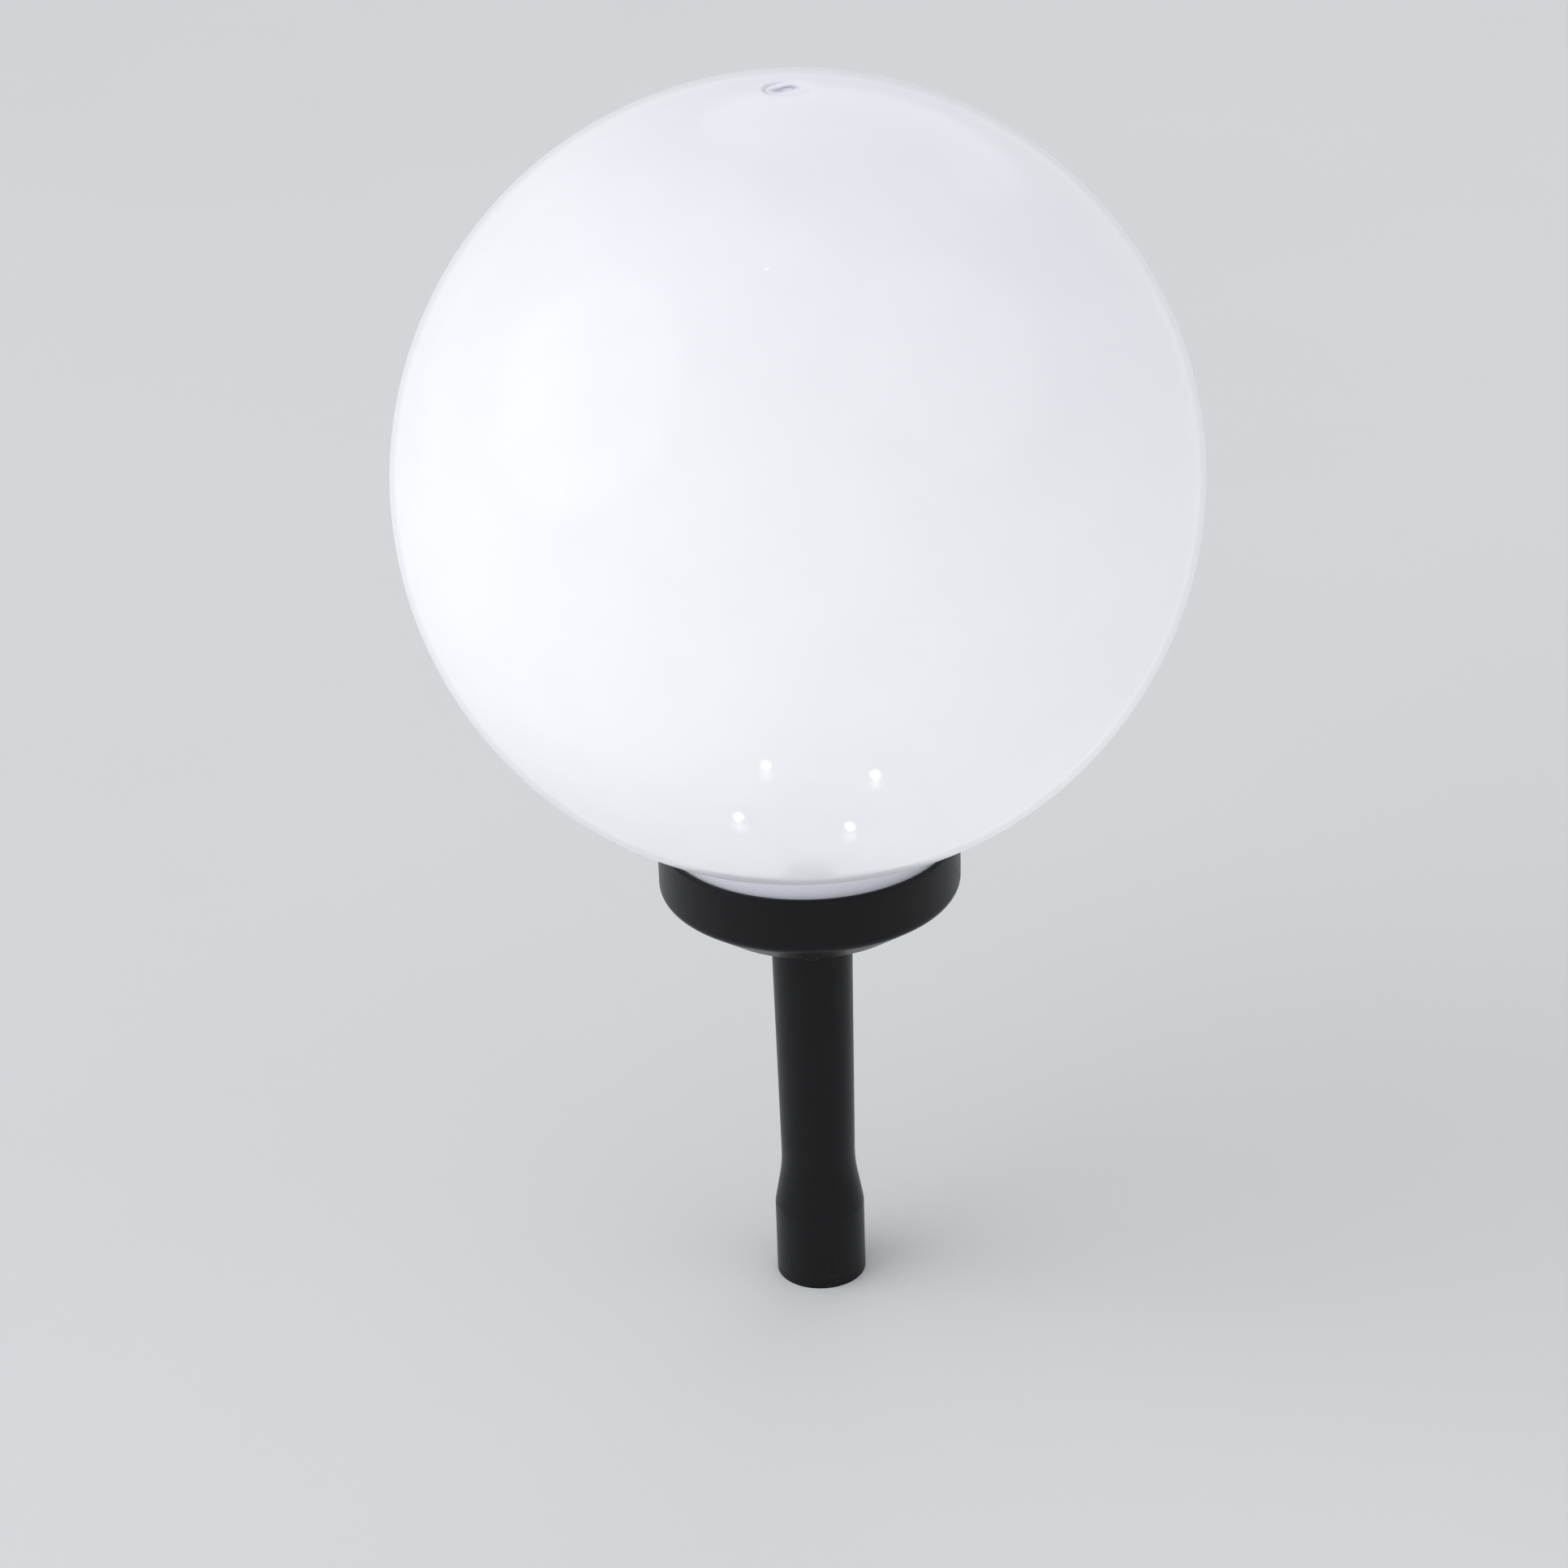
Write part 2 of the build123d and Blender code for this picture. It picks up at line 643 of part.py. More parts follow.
def make_neck_collar():
    middle = Pos(0, 0, globe_centre)
    flange_outside = globe_radius - globe_wall - seat_clear
    flange = middle * Sphere(flange_outside) - middle * Sphere(flange_outside - collar_flange_thickness)
    flange &= rod(neck_radius + collar_flange_reach, neck_foot, globe_centre)
    flange_low = globe_centre - math.sqrt(flange_outside**2 - neck_radius**2)
    collar = rod(neck_radius, neck_foot, flange_low + collar_flange_thickness / 2) + flange
    collar -= rod(neck_inner_radius, neck_foot, globe_centre)
    half_groove = seal_thickness / 2 + body_clear
    collar -= ring(neck_radius + 1, seal_radius - half_groove, seal_height - half_groove,
                   seal_height + half_groove)
    for k in range(thread_starts):
        start = thread_turn + 360 * k / thread_starts
        level = lug_low + lug_height / 2 - thread_lead * start / 360
        collar += helical_bar(lug_inner_radius, neck_inner_radius + neck_wall / 3, lug_height,
                              start, lug_arc, level)
    return collar


def make_neck_seal():
    return Pos(0, 0, seal_height) * Torus(seal_radius, seal_thickness / 2)


# ---------------------------------------------------------------- every piece, by its node's name
pieces = {
    "ground_spike": make_ground_spike(),
    "post_tube": make_post_tube(),
    "base_cup": make_base_cup(),
    "switch_body": make_switch_body(),
    "switch_button": make_switch_button(),
    "switch_washer": make_switch_washer(),
    "switch_nut": make_switch_nut(),
    "switch_leads": make_switch_leads(),
    "housing_screws": make_housing_screws(),
    "module_housing": make_module_housing(),
    "plate_gasket": make_plate_gasket(),
    "module_plate": make_module_plate(),
    "plate_screws": make_plate_screws(),
    "solar_panel": make_solar_panel(),
    "panel_leads": make_panel_leads(),
    "led_board": make_led_board(),
    "board_screws": make_board_screws(),
    "charge_inductor": make_charge_inductor(),
    "storage_capacitor": make_storage_capacitor(),
    "driver_chip": make_driver_chip(),
    "battery_left": make_battery(-1),
    "battery_right": make_battery(1),
    "battery_spring_left": make_battery_spring(-1),
    "battery_spring_right": make_battery_spring(1),
    "bridge_contact": make_bridge_contact(),
    "tab_contact_left": make_tab_contact(-1),
    "tab_contact_right": make_tab_contact(1),
    "globe_shell": make_globe_shell(),
    "neck_collar": make_neck_collar(),
    "neck_seal": make_neck_seal(),
}
led_names = ("led_back_right", "led_back_left", "led_front_left", "led_front_right")
for led_name, led_place in zip(led_names, led_places()):
    pieces[led_name] = make_led(*led_place)

os.makedirs("parts", exist_ok=True)
for node, solid in pieces.items():
    shape = Compound(children=solid) if isinstance(solid, list) else solid
    export_step(shape, f"parts/{node}.step")
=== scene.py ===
import math

import bpy
from mathutils import Matrix, Vector


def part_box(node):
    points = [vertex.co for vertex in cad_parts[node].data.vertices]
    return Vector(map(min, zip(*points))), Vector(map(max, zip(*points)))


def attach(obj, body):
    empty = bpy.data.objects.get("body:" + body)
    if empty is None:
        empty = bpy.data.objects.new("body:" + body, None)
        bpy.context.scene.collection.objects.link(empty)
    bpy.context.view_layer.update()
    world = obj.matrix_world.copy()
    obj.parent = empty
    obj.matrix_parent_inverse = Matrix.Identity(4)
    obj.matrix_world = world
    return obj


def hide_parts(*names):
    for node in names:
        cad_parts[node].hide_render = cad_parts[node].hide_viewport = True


# Dresses the garden globe light: opal globe, black cup and post, ground spike and solar module.
# The globe and the lamps' cores are modelled here. Everything else is the CAD model's own, with a finish.
# Metres, +Z up, origin on the lamp's axis at ground level.

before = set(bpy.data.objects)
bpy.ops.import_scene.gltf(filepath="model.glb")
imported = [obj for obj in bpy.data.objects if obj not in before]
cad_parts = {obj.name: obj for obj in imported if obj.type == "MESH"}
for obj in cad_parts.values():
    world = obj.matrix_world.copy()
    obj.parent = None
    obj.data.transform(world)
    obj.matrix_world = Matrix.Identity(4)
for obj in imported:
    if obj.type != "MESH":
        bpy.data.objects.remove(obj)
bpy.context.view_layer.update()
MM = 0.001

# ---------------------------------------------------------------- sizes
# read from the frame
globe_low, globe_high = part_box("globe_shell")
collar_low, collar_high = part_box("neck_collar")
cup_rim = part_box("base_cup")[1].z
led_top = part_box("led_front_left")[1].z

# as in the CAD model
globe_centre = 345.0 * MM     # height of the globe's middle
globe_wall = 2.2 * MM
gate_radius = 8.7 * MM        # dished moulding mark at the globe's pole
collar_flange = 5.0 * MM      # how far the collar's flange reaches out from its neck
led_height = 8.6 * MM         # an LED, from its seat to the top of its dome
led_radius = 2.5 * MM
led_circle = 30.69 * MM       # radius of the circle on which the four LEDs stand
led_angle = 31.0              # degrees from +X to the first LED

# worked out from both
globe_radius = min(globe_high.x, -globe_low.x)
neck_radius = (collar_high.x - collar_low.x) / 2 - collar_flange
led_seat = led_top - led_height
led_dome = led_top - led_radius   # height of the dome's middle
gate_sag = globe_radius - math.sqrt(globe_radius**2 - gate_radius**2)
gate_rim = globe_centre + globe_radius - gate_sag   # height of the mark's rim


# ---------------------------------------------------------------- shader maths
class Wire:
    """An output of a node. Used in an expression, it adds the Math nodes that the expression needs."""

    def __init__(self, nodes, node, output=0):
        self.nodes = nodes
        self.node = node
        self.output = output

    def other(self, output):
        """Another output of the same node."""
        return Wire(self.nodes, self.node, output)

    def maths(self, operation, *others):
        return self.nodes.maths(operation, self, *others)

    def __add__(self, other):
        return self.maths("ADD", other)

    def __sub__(self, other):
        return self.maths("SUBTRACT", other)

    def __rsub__(self, other):
        return self.nodes.maths("SUBTRACT", other, self)

    def __mul__(self, other):
        return self.maths("MULTIPLY", other)

    def __truediv__(self, other):
        return self.maths("DIVIDE", other)

    def __rtruediv__(self, other):
        return self.nodes.maths("DIVIDE", other, self)

    def __pow__(self, other):
        return self.maths("POWER", other)

    def __rpow__(self, other):
        return self.nodes.maths("POWER", other, self)

    __radd__ = __add__
    __rmul__ = __mul__

    def above(self, level):
        return self.maths("GREATER_THAN", level)

    def larger(self, other):
        return self.maths("MAXIMUM", other)

    def absolute(self):
        return self.maths("ABSOLUTE")

    def ramp(self, low, high):
        """0 below low, 1 above high, smooth between."""
        values = {"Value": self, "From Min": low, "From Max": high}
        return self.nodes.node("ShaderNodeMapRange", {"interpolation_type": "SMOOTHSTEP"}, values)


class Nodes:
    """A node tree, of which every node is made by the method node."""

    def __init__(self, tree):
        self.tree = tree
        self.tree.nodes.clear()

    def fill(self, socket, value):
        """Gives a socket a wire, a number, a vector or a colour without its alpha."""
        if isinstance(value, Wire):
            self.tree.links.new(value.node.outputs[value.output], socket)
        elif socket.type == "RGBA":
            socket.default_value = (*value, 1.0)
        else:
            socket.default_value = value

    def node(self, kind, settings=None, values=None, output=0):
        """Makes a node: its type, its settings, what its sockets get, and the output that is used."""
        made = self.tree.nodes.new(kind)
        for name, value in (settings or {}).items():
            setattr(made, name, value)
        for name, value in (values or {}).items():
            self.fill(made.inputs[name], value)
        return Wire(self, made, output)

    def maths(self, operation, *values):
        return self.node("ShaderNodeMath", {"operation": operation}, dict(enumerate(values)))

    def blend(self, share, first, second):
        """A colour between two colours."""
        values = {"Factor": share, 6: first, 7: second}
        return self.node("ShaderNodeMix", {"data_type": "RGBA"}, values, 2)


class Finish(Nodes):
    """A procedural material."""

    def __init__(self, name):
        self.material = bpy.data.materials.new(name)
        self.material.use_nodes = True
        super().__init__(self.material.node_tree)
        self.surface = self.node("ShaderNodeBsdfPrincipled")
        self.output = self.node("ShaderNodeOutputMaterial", None, {"Surface": self.surface})

    def set(self, surface=None, **values):
        """Fills inputs of a surface, the first one if none is given. Their names have _ for each space."""
        for name, value in values.items():
            self.fill((surface or self.surface).node.inputs[name.replace("_", " ")], value)

    def lay_over(self, share):
        """A second surface, which shows where share is 1."""
        second = self.node("ShaderNodeBsdfPrincipled")
        mix = self.node("ShaderNodeMixShader", None, {0: share, 1: self.surface, 2: second})
        self.fill(self.output.node.inputs["Surface"], mix)
        return second

    def place(self):
        """Object coordinates."""
        return self.node("ShaderNodeTexCoord", output="Object")

    def mapped(self, **change):
        """Object coordinates, scaled or turned for patterns with a direction."""
        return self.node("ShaderNodeMapping", None, {"Vector": self.place(), **change})

    def axes(self, point=None):
        """The three coordinates of a point, of the place on the object if none is given."""
        x = self.node("ShaderNodeSeparateXYZ", None, {0: point or self.place()})
        return x, x.other(1), x.other(2)

    def noise(self, scale, detail=2.0, point=None):
        values = {"Vector": point or self.place(), "Scale": scale, "Detail": detail}
        return self.node("ShaderNodeTexNoise", None, values, "Fac")

    def bump(self, height, distance, strength):
        values = {"Height": height, "Distance": distance, "Strength": strength}
        return self.node("ShaderNodeBump", None, values)


def off_axis(x, y):
    """Distance from the upright axis."""
    return (x * x + y * y) ** 0.5


# ---------------------------------------------------------------- finishes
def gate_mark_and_rim_shade(f, x, y, z):
    """How dark the mark at the pole is: a slanted blotchy smear, and painted shade in an arc along its
    left rim.
    """
    slant_x, slant_y = 0.82, 0.57
    smear_shift = 1.5 * MM
    arc_radius = 7.8 * MM
    arc_strength = 0.62
    dish_reach = 1.2 * MM
    blot = f.noise(240.0, 1.0).ramp(0.0, 0.62)
    along = (x * slant_x + y * slant_y).absolute().ramp(3.0 * MM, 7.0 * MM)
    across = (y * slant_x - x * slant_y - smear_shift).absolute().ramp(0.8 * MM, 4.2 * MM)
    smear = (1.0 - along) * (1.0 - across) * blot
    ring = 1.0 - (off_axis(x, y) - arc_radius).absolute().ramp(0.3 * MM, 1.1 * MM)
    # painted shade: an arc along the dish's left rim, darker as if in shadow
    painted_rim_shade = ring * (x * -1.0).ramp(-1.0 * MM, 7.0 * MM) * arc_strength
    return smear.larger(painted_rim_shade) * z.above(gate_rim - dish_reach)


def opal_plastic():
    """The globe: a glossy skin that glows, and a mirror-like inner wall. Both let a little through."""
    f = Finish("opal_plastic")
    x, y, z = f.axes()
    rise = z - globe_centre
    outside = ((x * x + y * y + rise * rise) ** 0.5).above(globe_radius - globe_wall / 2)
    mark = gate_mark_and_rim_shade(f, x, y, z)
    fine = f.noise(38.0, 2.0)
    cloud = f.noise(5.0, 3.0)

    # painted light and shade: the glow is brighter on the left, and weaker towards the top, on the right,
    # and low on the left
    up = rise / globe_radius
    left = (x * -1.0) / globe_radius
    shade = 0.20 + up.ramp(-0.3, 1.2) * 0.56 + up.ramp(0.8, 1.0) * 0.24
    shade = shade - left * 0.12 + (cloud - 0.5) * 0.06
    shade = shade + (1.0 - up.ramp(-0.75, -0.20)) * (left * 0.6 + 0.06)
    glow = f.blend(shade, (0.974, 1.002, 1.026), (0.588, 0.620, 0.690))
    # painted shade: the smear and the shaded rim arc at the pole darken the glow
    glow = f.blend(mark, glow, (0.26, 0.26, 0.42))
    tint = f.blend(fine, (0.400, 0.400, 0.418), (0.440, 0.440, 0.456))
    # painted shade at the pole darkens the colour too
    tint = f.blend(mark, tint, (0.16, 0.16, 0.24))

    # painted shadow: the collar's flange blocks the glow round the globe's opening, so glow and colour are
    # darker there
    dark_to, clear_from = 206.8 * MM, 211.8 * MM
    flange_shadow = (1.0 - z.ramp(dark_to, clear_from)) * outside
    glow = f.blend(flange_shadow * 0.66, glow, (0.40, 0.41, 0.53))
    tint = f.blend(flange_shadow * 0.6, tint, (0.22, 0.225, 0.26))

    scuff = f.noise(900.0, 2.0, f.mapped(Scale=(1.0, 1.0, 0.25))).ramp(0.66, 0.80)
    ripple = f.bump(f.noise(24.0, 1.0), 0.06 * MM, 0.4)
    f.set(Base_Color=tint, Emission_Color=(0.86, 0.86, 0.88), Emission_Strength=0.55)
    f.set(Roughness=0.01 + fine * 0.01, Specular_IOR_Level=1.0, Alpha=0.85)
    skin = f.lay_over(outside)
    f.set(skin, Base_Color=tint, Emission_Color=glow, Emission_Strength=0.56, Specular_IOR_Level=0.0)
    f.set(skin, Roughness=0.20 + scuff * 0.15, Normal=ripple, Alpha=0.85)
    f.set(skin, Coat_Weight=1.0, Coat_IOR=1.38, Coat_Roughness=0.18)
    return f


def satin_black():
    """Moulded black plastic with a fine spark-eroded grain, faint scratches and a little dust."""
    f = Finish("satin_black")
    dust = f.noise(14.0, 4.0).ramp(0.50, 0.78) * f.noise(420.0, 3.0).ramp(0.42, 0.72)
    scratch = f.noise(260.0, 2.0, f.mapped(Scale=(1.0, 1.0, 0.05))).ramp(0.68, 0.76)
    grain = f.bump(f.noise(1500.0, 2.0), 0.03 * MM, 0.55)
    colour = f.blend(dust * 0.35, (0.0045, 0.0047, 0.0052), (0.040, 0.040, 0.040))
    f.set(Base_Color=colour, Roughness=0.36 + dust * 0.25 + scratch * 0.10, Normal=grain)
    f.set(Specular_IOR_Level=0.20)
    return f


def matt_grain(f):
    """The fine matt grain of the white plastics."""
    return f.bump(f.noise(1700.0, 2.0), 0.02 * MM, 0.4)


def module_plastic():
    """The solar module's fine matt white plastic."""
    f = Finish("module_plastic")
    fine = f.noise(60.0, 3.0)
    colour = f.blend(fine, (0.66, 0.67, 0.68), (0.72, 0.73, 0.74))
    f.set(Base_Color=colour, Roughness=0.42 + fine * 0.12, Normal=matt_grain(f))
    return f


def collar_plastic():
    """The globe's collar: white plastic with painted light from the globe's glow in it, fading to painted
    shade towards the cup, and a painted shadow line below the globe.
    """
    f = Finish("collar_plastic")
    x, y, z = f.axes()
    fine = f.noise(60.0, 3.0)
    joint_height = globe_low.z - 0.1 * MM
    # painted shadow: a dark line in the gap just below the globe's edge
    gap_shadow = 1.0 - (z - joint_height).absolute().ramp(0.15 * MM, 0.50 * MM)
    body = f.blend(fine, (0.41, 0.415, 0.46), (0.45, 0.455, 0.50))
    f.set(Base_Color=f.blend(gap_shadow, body, (0.15, 0.15, 0.20)), Roughness=0.40 + fine * 0.12)
    # painted light: the collar glows as if lit by the globe, fading to painted shade towards the cup
    rise = z.ramp(cup_rim - 4.0 * MM, globe_low.z)
    glow = f.blend(rise, (0.42, 0.425, 0.47), (0.84, 0.85, 0.93))
    f.set(Emission_Color=f.blend(gap_shadow, glow, (0.28, 0.28, 0.38)), Emission_Strength=0.28)
    f.set(Normal=matt_grain(f))
    return f


def seal_rubber():
    """Matt black rubber."""
    f = Finish("seal_rubber")
    fine = f.noise(300.0, 3.0)
    colour = f.blend(fine, (0.012, 0.012, 0.012), (0.030, 0.030, 0.029))
    f.set(Base_Color=colour, Roughness=0.62 + fine * 0.15)
    return f


def steel(name, colour, other, roughness):
    """Plated steel, or a can, with a faint turned or drawn grain."""
    f = Finish(name)
    grain = f.noise(900.0, 3.0, f.mapped(Scale=(1.0, 1.0, 6.0)))
    f.set(Base_Color=f.blend(grain, colour, other), Metallic=1.0, Roughness=roughness + grain * 0.12)
    return f


def glossy(name, colour, other, roughness, scale=80.0):
    """A glossy coloured skin, a little uneven."""
    f = Finish(name)
    fine = f.noise(scale, 3.0)
    f.set(Base_Color=f.blend(fine, colour, other), Roughness=roughness + fine * 0.08)
    return f


def lamp_resin():
    """The LEDs: clear resin that glows faintly, on bright tinned legs."""
    f = Finish("lamp_resin")
    x, y, z = f.axes()
    resin = z.above(led_seat)
    f.set(Base_Color=f.blend(resin, (0.62, 0.61, 0.58), (0.85, 0.87, 0.90)), Metallic=1.0 - resin)
    f.set(Emission_Color=f.blend(resin, (0.0, 0.0, 0.0), (1.0, 0.98, 0.92)), Emission_Strength=3.0)
    f.set(Roughness=0.06 + f.noise(300.0) * 0.06, Alpha=1.0 - resin * 0.68)
    return f


def lamp_core_glow():
    """The bright bulb of light that an LED's dome shows, on its dull stem."""
    f = Finish("lamp_core_glow")
    x, y, z = f.axes()
    bulb = z.ramp(led_dome - 0.9 * MM, led_dome - 0.2 * MM)
    f.set(Base_Color=f.blend(f.noise(400.0), (0.70, 0.69, 0.66), (0.80, 0.79, 0.76)), Roughness=0.3)
    f.set(Emission_Color=f.blend(bulb, (0.04, 0.04, 0.036), (1.0, 0.99, 0.95)), Emission_Strength=140.0)
    return f


def solar_cell():
    """Dark blue cells with silver grid lines under clear resin."""
    f = Finish("solar_cell")
    x, y, z = f.axes(f.mapped(Rotation=(0.0, 0.0, math.radians(-led_angle))))

    def lines(axis, pitch, width):
        """1 on lines of a width that repeat at a pitch."""
        return (axis / pitch).maths("PINGPONG", 0.5).maths("LESS_THAN", width / pitch / 2)

    shards = f.node("ShaderNodeTexVoronoi", None, {"Vector": f.place(), "Scale": 190.0}, "Color")
    grey = f.node("ShaderNodeRGBToBW", None, {0: shards})
    colour = f.blend(grey, (0.006, 0.014, 0.050), (0.012, 0.034, 0.110))
    colour = f.blend(lines(x, 2.0 * MM, 0.16 * MM), colour, (0.32, 0.33, 0.34))
    colour = f.blend(lines(y, 12.0 * MM, 0.6 * MM), colour, (0.62, 0.62, 0.60))
    f.set(Base_Color=colour, Roughness=0.34 + f.noise(90.0) * 0.12)
    return f


def board_lacquer():
    """Green solder mask over copper tracks."""
    f = Finish("board_lacquer")
    place = {"Vector": f.place(), "Scale": 130.0}
    edge = f.node("ShaderNodeTexVoronoi", {"feature": "DISTANCE_TO_EDGE"}, place, "Distance")
    track = 1.0 - edge.ramp(0.04, 0.09)
    colour = f.blend(track, (0.008, 0.085, 0.030), (0.030, 0.200, 0.075))
    f.set(Base_Color=colour, Roughness=0.28 + track * 0.1, Normal=f.bump(track, 0.04 * MM, 0.6))
    return f


# ---------------------------------------------------------------- modelling by hand
def clear_selection():
    if bpy.context.object and bpy.context.object.mode != "OBJECT":
        bpy.ops.object.mode_set(mode="OBJECT")
    bpy.ops.object.select_all(action="DESELECT")


def arc(radius, centre_height, start, end, steps):
    """Points (radius, height) on an arc round a centre on the axis, angles in degrees above the level."""
    angles = [math.radians(start + (end - start) * k / steps) for k in range(steps + 1)]
    return [(radius * math.cos(a), centre_height + radius * math.sin(a)) for a in angles]


def rounded(corner, before, after, radius, steps=5):
    """A corner of an outline, rounded by a curve through steps + 1 points."""
    c, b, a = Vector(corner), Vector(before), Vector(after)
    start = c + (b - c).normalized() * radius
    end = c + (a - c).normalized() * radius
    shares = [k / steps for k in range(steps + 1)]
    return [tuple(start.lerp(c, t).lerp(c.lerp(end, t), t)) for t in shares]


def turned(name, outline, steps, place=(0.0, 0.0)):
    """Spins an outline of (radius, height) points round an upright axis, as on a lathe."""
    clear_selection()
    bpy.ops.mesh.primitive_plane_add(size=1.0, location=(0, 0, 0))
    piece = bpy.context.object
    piece.name = piece.data.name = name
    bpy.ops.object.mode_set(mode="EDIT")
    bpy.ops.mesh.select_all(action="SELECT")
    bpy.ops.mesh.merge(type="CENTER")
    bpy.ops.transform.translate(value=(outline[0][0], 0, outline[0][1]))
    for last, point in zip(outline, outline[1:]):
        step = (point[0] - last[0], 0, point[1] - last[1])
        bpy.ops.mesh.extrude_region_move(TRANSFORM_OT_translate={"value": step})
    bpy.ops.mesh.select_all(action="SELECT")
    bpy.ops.mesh.spin(steps=steps, angle=2 * math.pi, center=(0, 0, 0), axis=(0, 0, 1))
    bpy.ops.mesh.select_all(action="SELECT")
    bpy.ops.mesh.remove_doubles(threshold=0.02 * MM)
    bpy.ops.mesh.normals_make_consistent(inside=False)
    bpy.ops.transform.translate(value=(place[0], place[1], 0))
    bpy.ops.object.mode_set(mode="OBJECT")
    bpy.ops.object.shade_smooth_by_angle(angle=math.radians(40))
    return piece


def cover(piece, finish):
    """Gives a piece its finish, and no other."""
    piece.data.materials.clear()
    piece.data.materials.append(finish.material)


def settle(piece, body, finish, slot, *nodes):
    """Puts the finish on a piece, lets it ride on its body and stand for its CAD nodes."""
    cover(piece, finish)
    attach(piece, body)
    if nodes:
        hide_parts(*nodes)


def make_globe():
    """The globe: one blown shell with a hole for its collar and the dished moulding mark at the pole."""
    hole_play = 0.1 * MM
    dish_depth = 0.7 * MM
    edge_round = 0.35 * MM
    arc_steps = 120
    turn_steps = 192
    inner_radius = globe_radius - globe_wall
    hole_radius = neck_radius + hole_play
    hole_outer = -math.degrees(math.acos(hole_radius / globe_radius))
    hole_inner = -math.degrees(math.acos(hole_radius / inner_radius))
    dish_edge = 90 - math.degrees(math.asin(gate_radius / globe_radius))
    dish_floor = gate_rim - dish_depth

    outside = arc(globe_radius, globe_centre, hole_outer, dish_edge, arc_steps)
    outside[-1:] = rounded(outside[-1], outside[-2], (gate_radius, dish_floor), edge_round)
    dish = [
        (gate_radius, dish_floor + 0.30 * MM),
        (gate_radius - 0.25 * MM, dish_floor + 0.04 * MM),
        (gate_radius - 0.6 * MM, dish_floor),
    ]
    nub = [
        (3.1 * MM, dish_floor),
        (2.5 * MM, dish_floor + 0.06 * MM),
        (2.25 * MM, dish_floor + 0.34 * MM),
        (1.9 * MM, dish_floor + 0.47 * MM),
        (0.0, dish_floor + 0.5 * MM),
    ]
    inside = arc(inner_radius, globe_centre, 90, hole_inner, arc_steps)
    inside[0] = (0.0, inside[0][1])
    globe = turned("globe", outside + dish + nub + inside + outside[:1], turn_steps)
    settle(globe, "globe", opal_plastic(), "opal_shell", "globe_shell")


def make_lamp_cores():
    """In each LED, a bulb of light on a stem."""
    bulb_radius = 1.25 * MM
    stem_radius = 0.5 * MM
    stem_top = led_dome - 1.5 * MM
    finish = lamp_core_glow()
    bulb = arc(bulb_radius, led_dome, 90, -66, 10)
    bulb[0] = (0.0, bulb[0][1])
    stem = [(stem_radius, stem_top), (stem_radius, led_seat), (0.0, led_seat)]
    for k, name in enumerate(("back_right", "back_left", "front_left", "front_right")):
        a = math.radians(led_angle + 90 * k)
        place = (led_circle * math.cos(a), led_circle * math.sin(a))
        settle(turned("lamp_core_" + name, bulb + stem, 24, place), "base", finish, "led_resin")


def dress_cad_nodes():
    """Gives each CAD node that stays in view its finish."""
    dressed = [
        (satin_black(), ["base_cup", "post_tube", "ground_spike", "switch_body", "switch_button"]),
        (steel("bright_steel", (0.48, 0.48, 0.46), (0.62, 0.62, 0.60), 0.24),
         ["switch_nut", "housing_screws", "plate_screws", "board_screws"]),
        (steel("spring_steel", (0.60, 0.60, 0.59), (0.74, 0.74, 0.73), 0.16),
         ["battery_spring_left", "battery_spring_right", "bridge_contact", "tab_contact_left",
          "tab_contact_right"]),
        (steel("capacitor_can", (0.45, 0.46, 0.48), (0.56, 0.57, 0.59), 0.28), ["storage_capacitor"]),
        (module_plastic(), ["module_housing", "module_plate"]),
        (collar_plastic(), ["neck_collar"]),
        (seal_rubber(), ["plate_gasket", "neck_seal", "switch_washer"]),
        (lamp_resin(), ["led_back_right", "led_back_left", "led_front_left", "led_front_right"]),
        (solar_cell(), ["solar_panel"]),
        (board_lacquer(), ["led_board"]),
        (glossy("cell_wrap", (0.02, 0.10, 0.035), (0.03, 0.14, 0.05), 0.22),
         ["battery_left", "battery_right"]),
        (glossy("wire_red", (0.32, 0.012, 0.010), (0.40, 0.018, 0.014), 0.38),
         ["switch_leads", "panel_leads"]),
        (glossy("ferrite", (0.020, 0.018, 0.017), (0.034, 0.030, 0.028), 0.30), ["charge_inductor"]),
        (glossy("chip_black", (0.012, 0.012, 0.012), (0.020, 0.020, 0.020), 0.45, 300.0),
         ["driver_chip"]),
    ]
    for finish, names in dressed:
        for name in names:
            cover(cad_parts[name], finish)


# ---------------------------------------------------------------- stage, light and camera
def make_floor():
    """A plain pale floor. It fades out with distance, so the backdrop shows and there is no horizon."""
    clear_selection()
    bpy.ops.mesh.primitive_circle_add(vertices=96, radius=14.0, fill_type="NGON", location=(0, 0, 0))
    floor = bpy.context.object
    floor.name = "floor"
    f = Finish("floor_paper")
    x, y, z = f.axes()
    mottle = f.noise(3.0, 3.0)
    f.set(Base_Color=f.blend(mottle, (0.66, 0.67, 0.68), (0.69, 0.70, 0.71)), Roughness=0.85)
    f.set(Alpha=1.0 - off_axis(x, y).ramp(1.6, 5.0))
    f.set(Normal=f.bump(f.noise(700.0, 2.0), 0.05 * MM, 0.3))
    floor.data.materials.append(f.material)


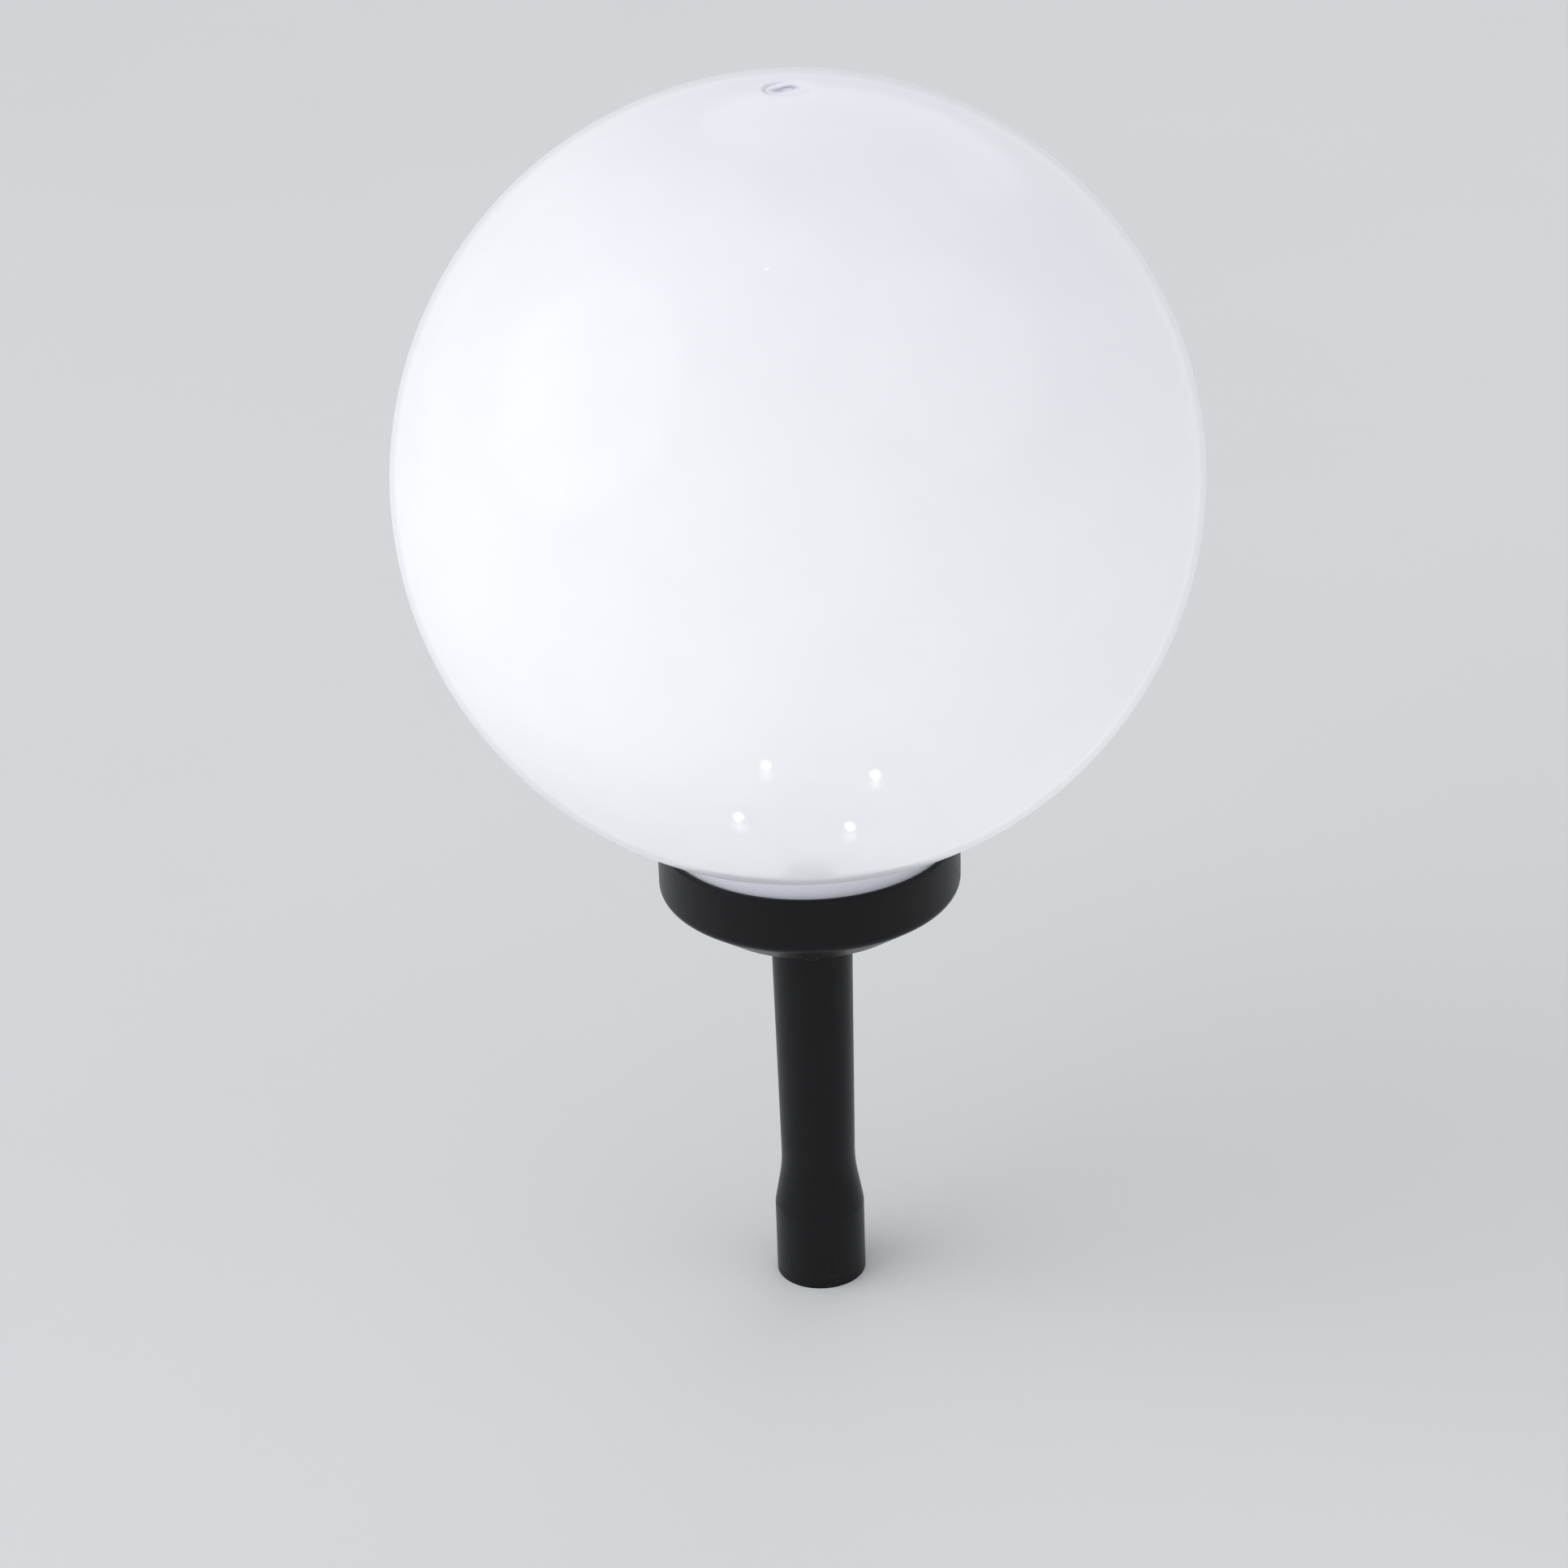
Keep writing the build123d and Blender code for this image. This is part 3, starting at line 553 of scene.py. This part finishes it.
def make_world():
    """Soft light from all round, brighter from the viewer's left, where the photograph's globe is whitest.

    Rays that the camera, gloss and clear pieces send out see a backdrop of the floor's tone instead.
    """
    world = bpy.data.worlds.new("studio")
    world.use_nodes = True
    bpy.context.scene.world = world
    n = Nodes(world.node_tree)
    towards_left = (-0.84, -0.47, 0.27)
    direction = n.node("ShaderNodeTexCoord", output="Generated")
    values = {0: direction, 1: towards_left}
    share = n.node("ShaderNodeVectorMath", {"operation": "DOT_PRODUCT"}, values, "Value").ramp(-0.1, 1.1)
    tone = n.blend(share, (0.45, 0.452, 0.468), (1.35, 1.35, 1.38))
    ambient = n.node("ShaderNodeBackground", None, {"Color": tone, "Strength": 1.0})
    backdrop = n.node("ShaderNodeBackground", None, {"Color": (0.66, 0.67, 0.69), "Strength": 1.0})
    camera_ray = n.node("ShaderNodeLightPath", output="Is Camera Ray")
    gloss_ray, clear_ray = camera_ray.other("Is Glossy Ray"), camera_ray.other("Is Transmission Ray")
    seen = camera_ray.larger(gloss_ray).larger(clear_ray)
    mix = n.node("ShaderNodeMixShader", None, {0: seen, 1: ambient, 2: backdrop})
    n.node("ShaderNodeOutputWorld", None, {"Surface": mix})


def softbox(name, azimuth, elevation, distance, size, power):
    """A round soft lamp that faces the globe. Azimuth 0 is the viewer's side, 90 the right."""
    light = bpy.data.lights.new(name, "AREA")
    light.shape = "DISK"
    light.size = size
    light.energy = power
    holder = bpy.data.objects.new(name, light)
    bpy.context.scene.collection.objects.link(holder)
    a, e = math.radians(azimuth), math.radians(elevation)
    away = Vector((math.sin(a) * math.cos(e), -math.cos(a) * math.cos(e), math.sin(e)))
    holder.location = Vector((0, 0, globe_centre)) + away * distance
    holder.rotation_euler = (-away).to_track_quat("-Z", "Y").to_euler()
    holder.visible_camera = False


def make_camera():
    """The photograph's viewpoint, worked out from the globe's outline, the lamps and the cup's rim."""
    distance = 1.5652
    elevation = math.radians(22.978)
    tilt_down = math.radians(4.105)
    pan_right = math.radians(-0.312)
    roll = math.radians(-1.753)
    camera = bpy.data.cameras.new("camera")
    camera.lens = 97.21
    camera.sensor_width = 36.0
    camera.clip_end = 100.0
    holder = bpy.data.objects.new("camera", camera)
    bpy.context.scene.collection.objects.link(holder)
    target = Vector((0, 0, globe_centre))
    away = Vector((0, -math.cos(elevation), math.sin(elevation)))
    aim = (-away).to_track_quat("-Z", "Y").to_matrix()
    tilt, pan = Matrix.Rotation(-tilt_down, 3, "X"), Matrix.Rotation(-pan_right, 3, "Y")
    turn = tilt @ pan @ Matrix.Rotation(roll, 3, "Z")
    holder.matrix_world = Matrix.Translation(target + away * distance) @ (aim @ turn).to_4x4()
    bpy.context.scene.camera = holder


dress_cad_nodes()
make_globe()
make_lamp_cores()
make_floor()
make_world()
softbox("key", azimuth=-74, elevation=30, distance=3.4, size=3.6, power=34.0)
softbox("fill", azimuth=62, elevation=42, distance=3.4, size=3.4, power=16.0)
softbox("back", azimuth=165, elevation=40, distance=3.4, size=3.0, power=12.0)
make_camera()
bpy.context.scene.view_settings.view_transform = "Standard"
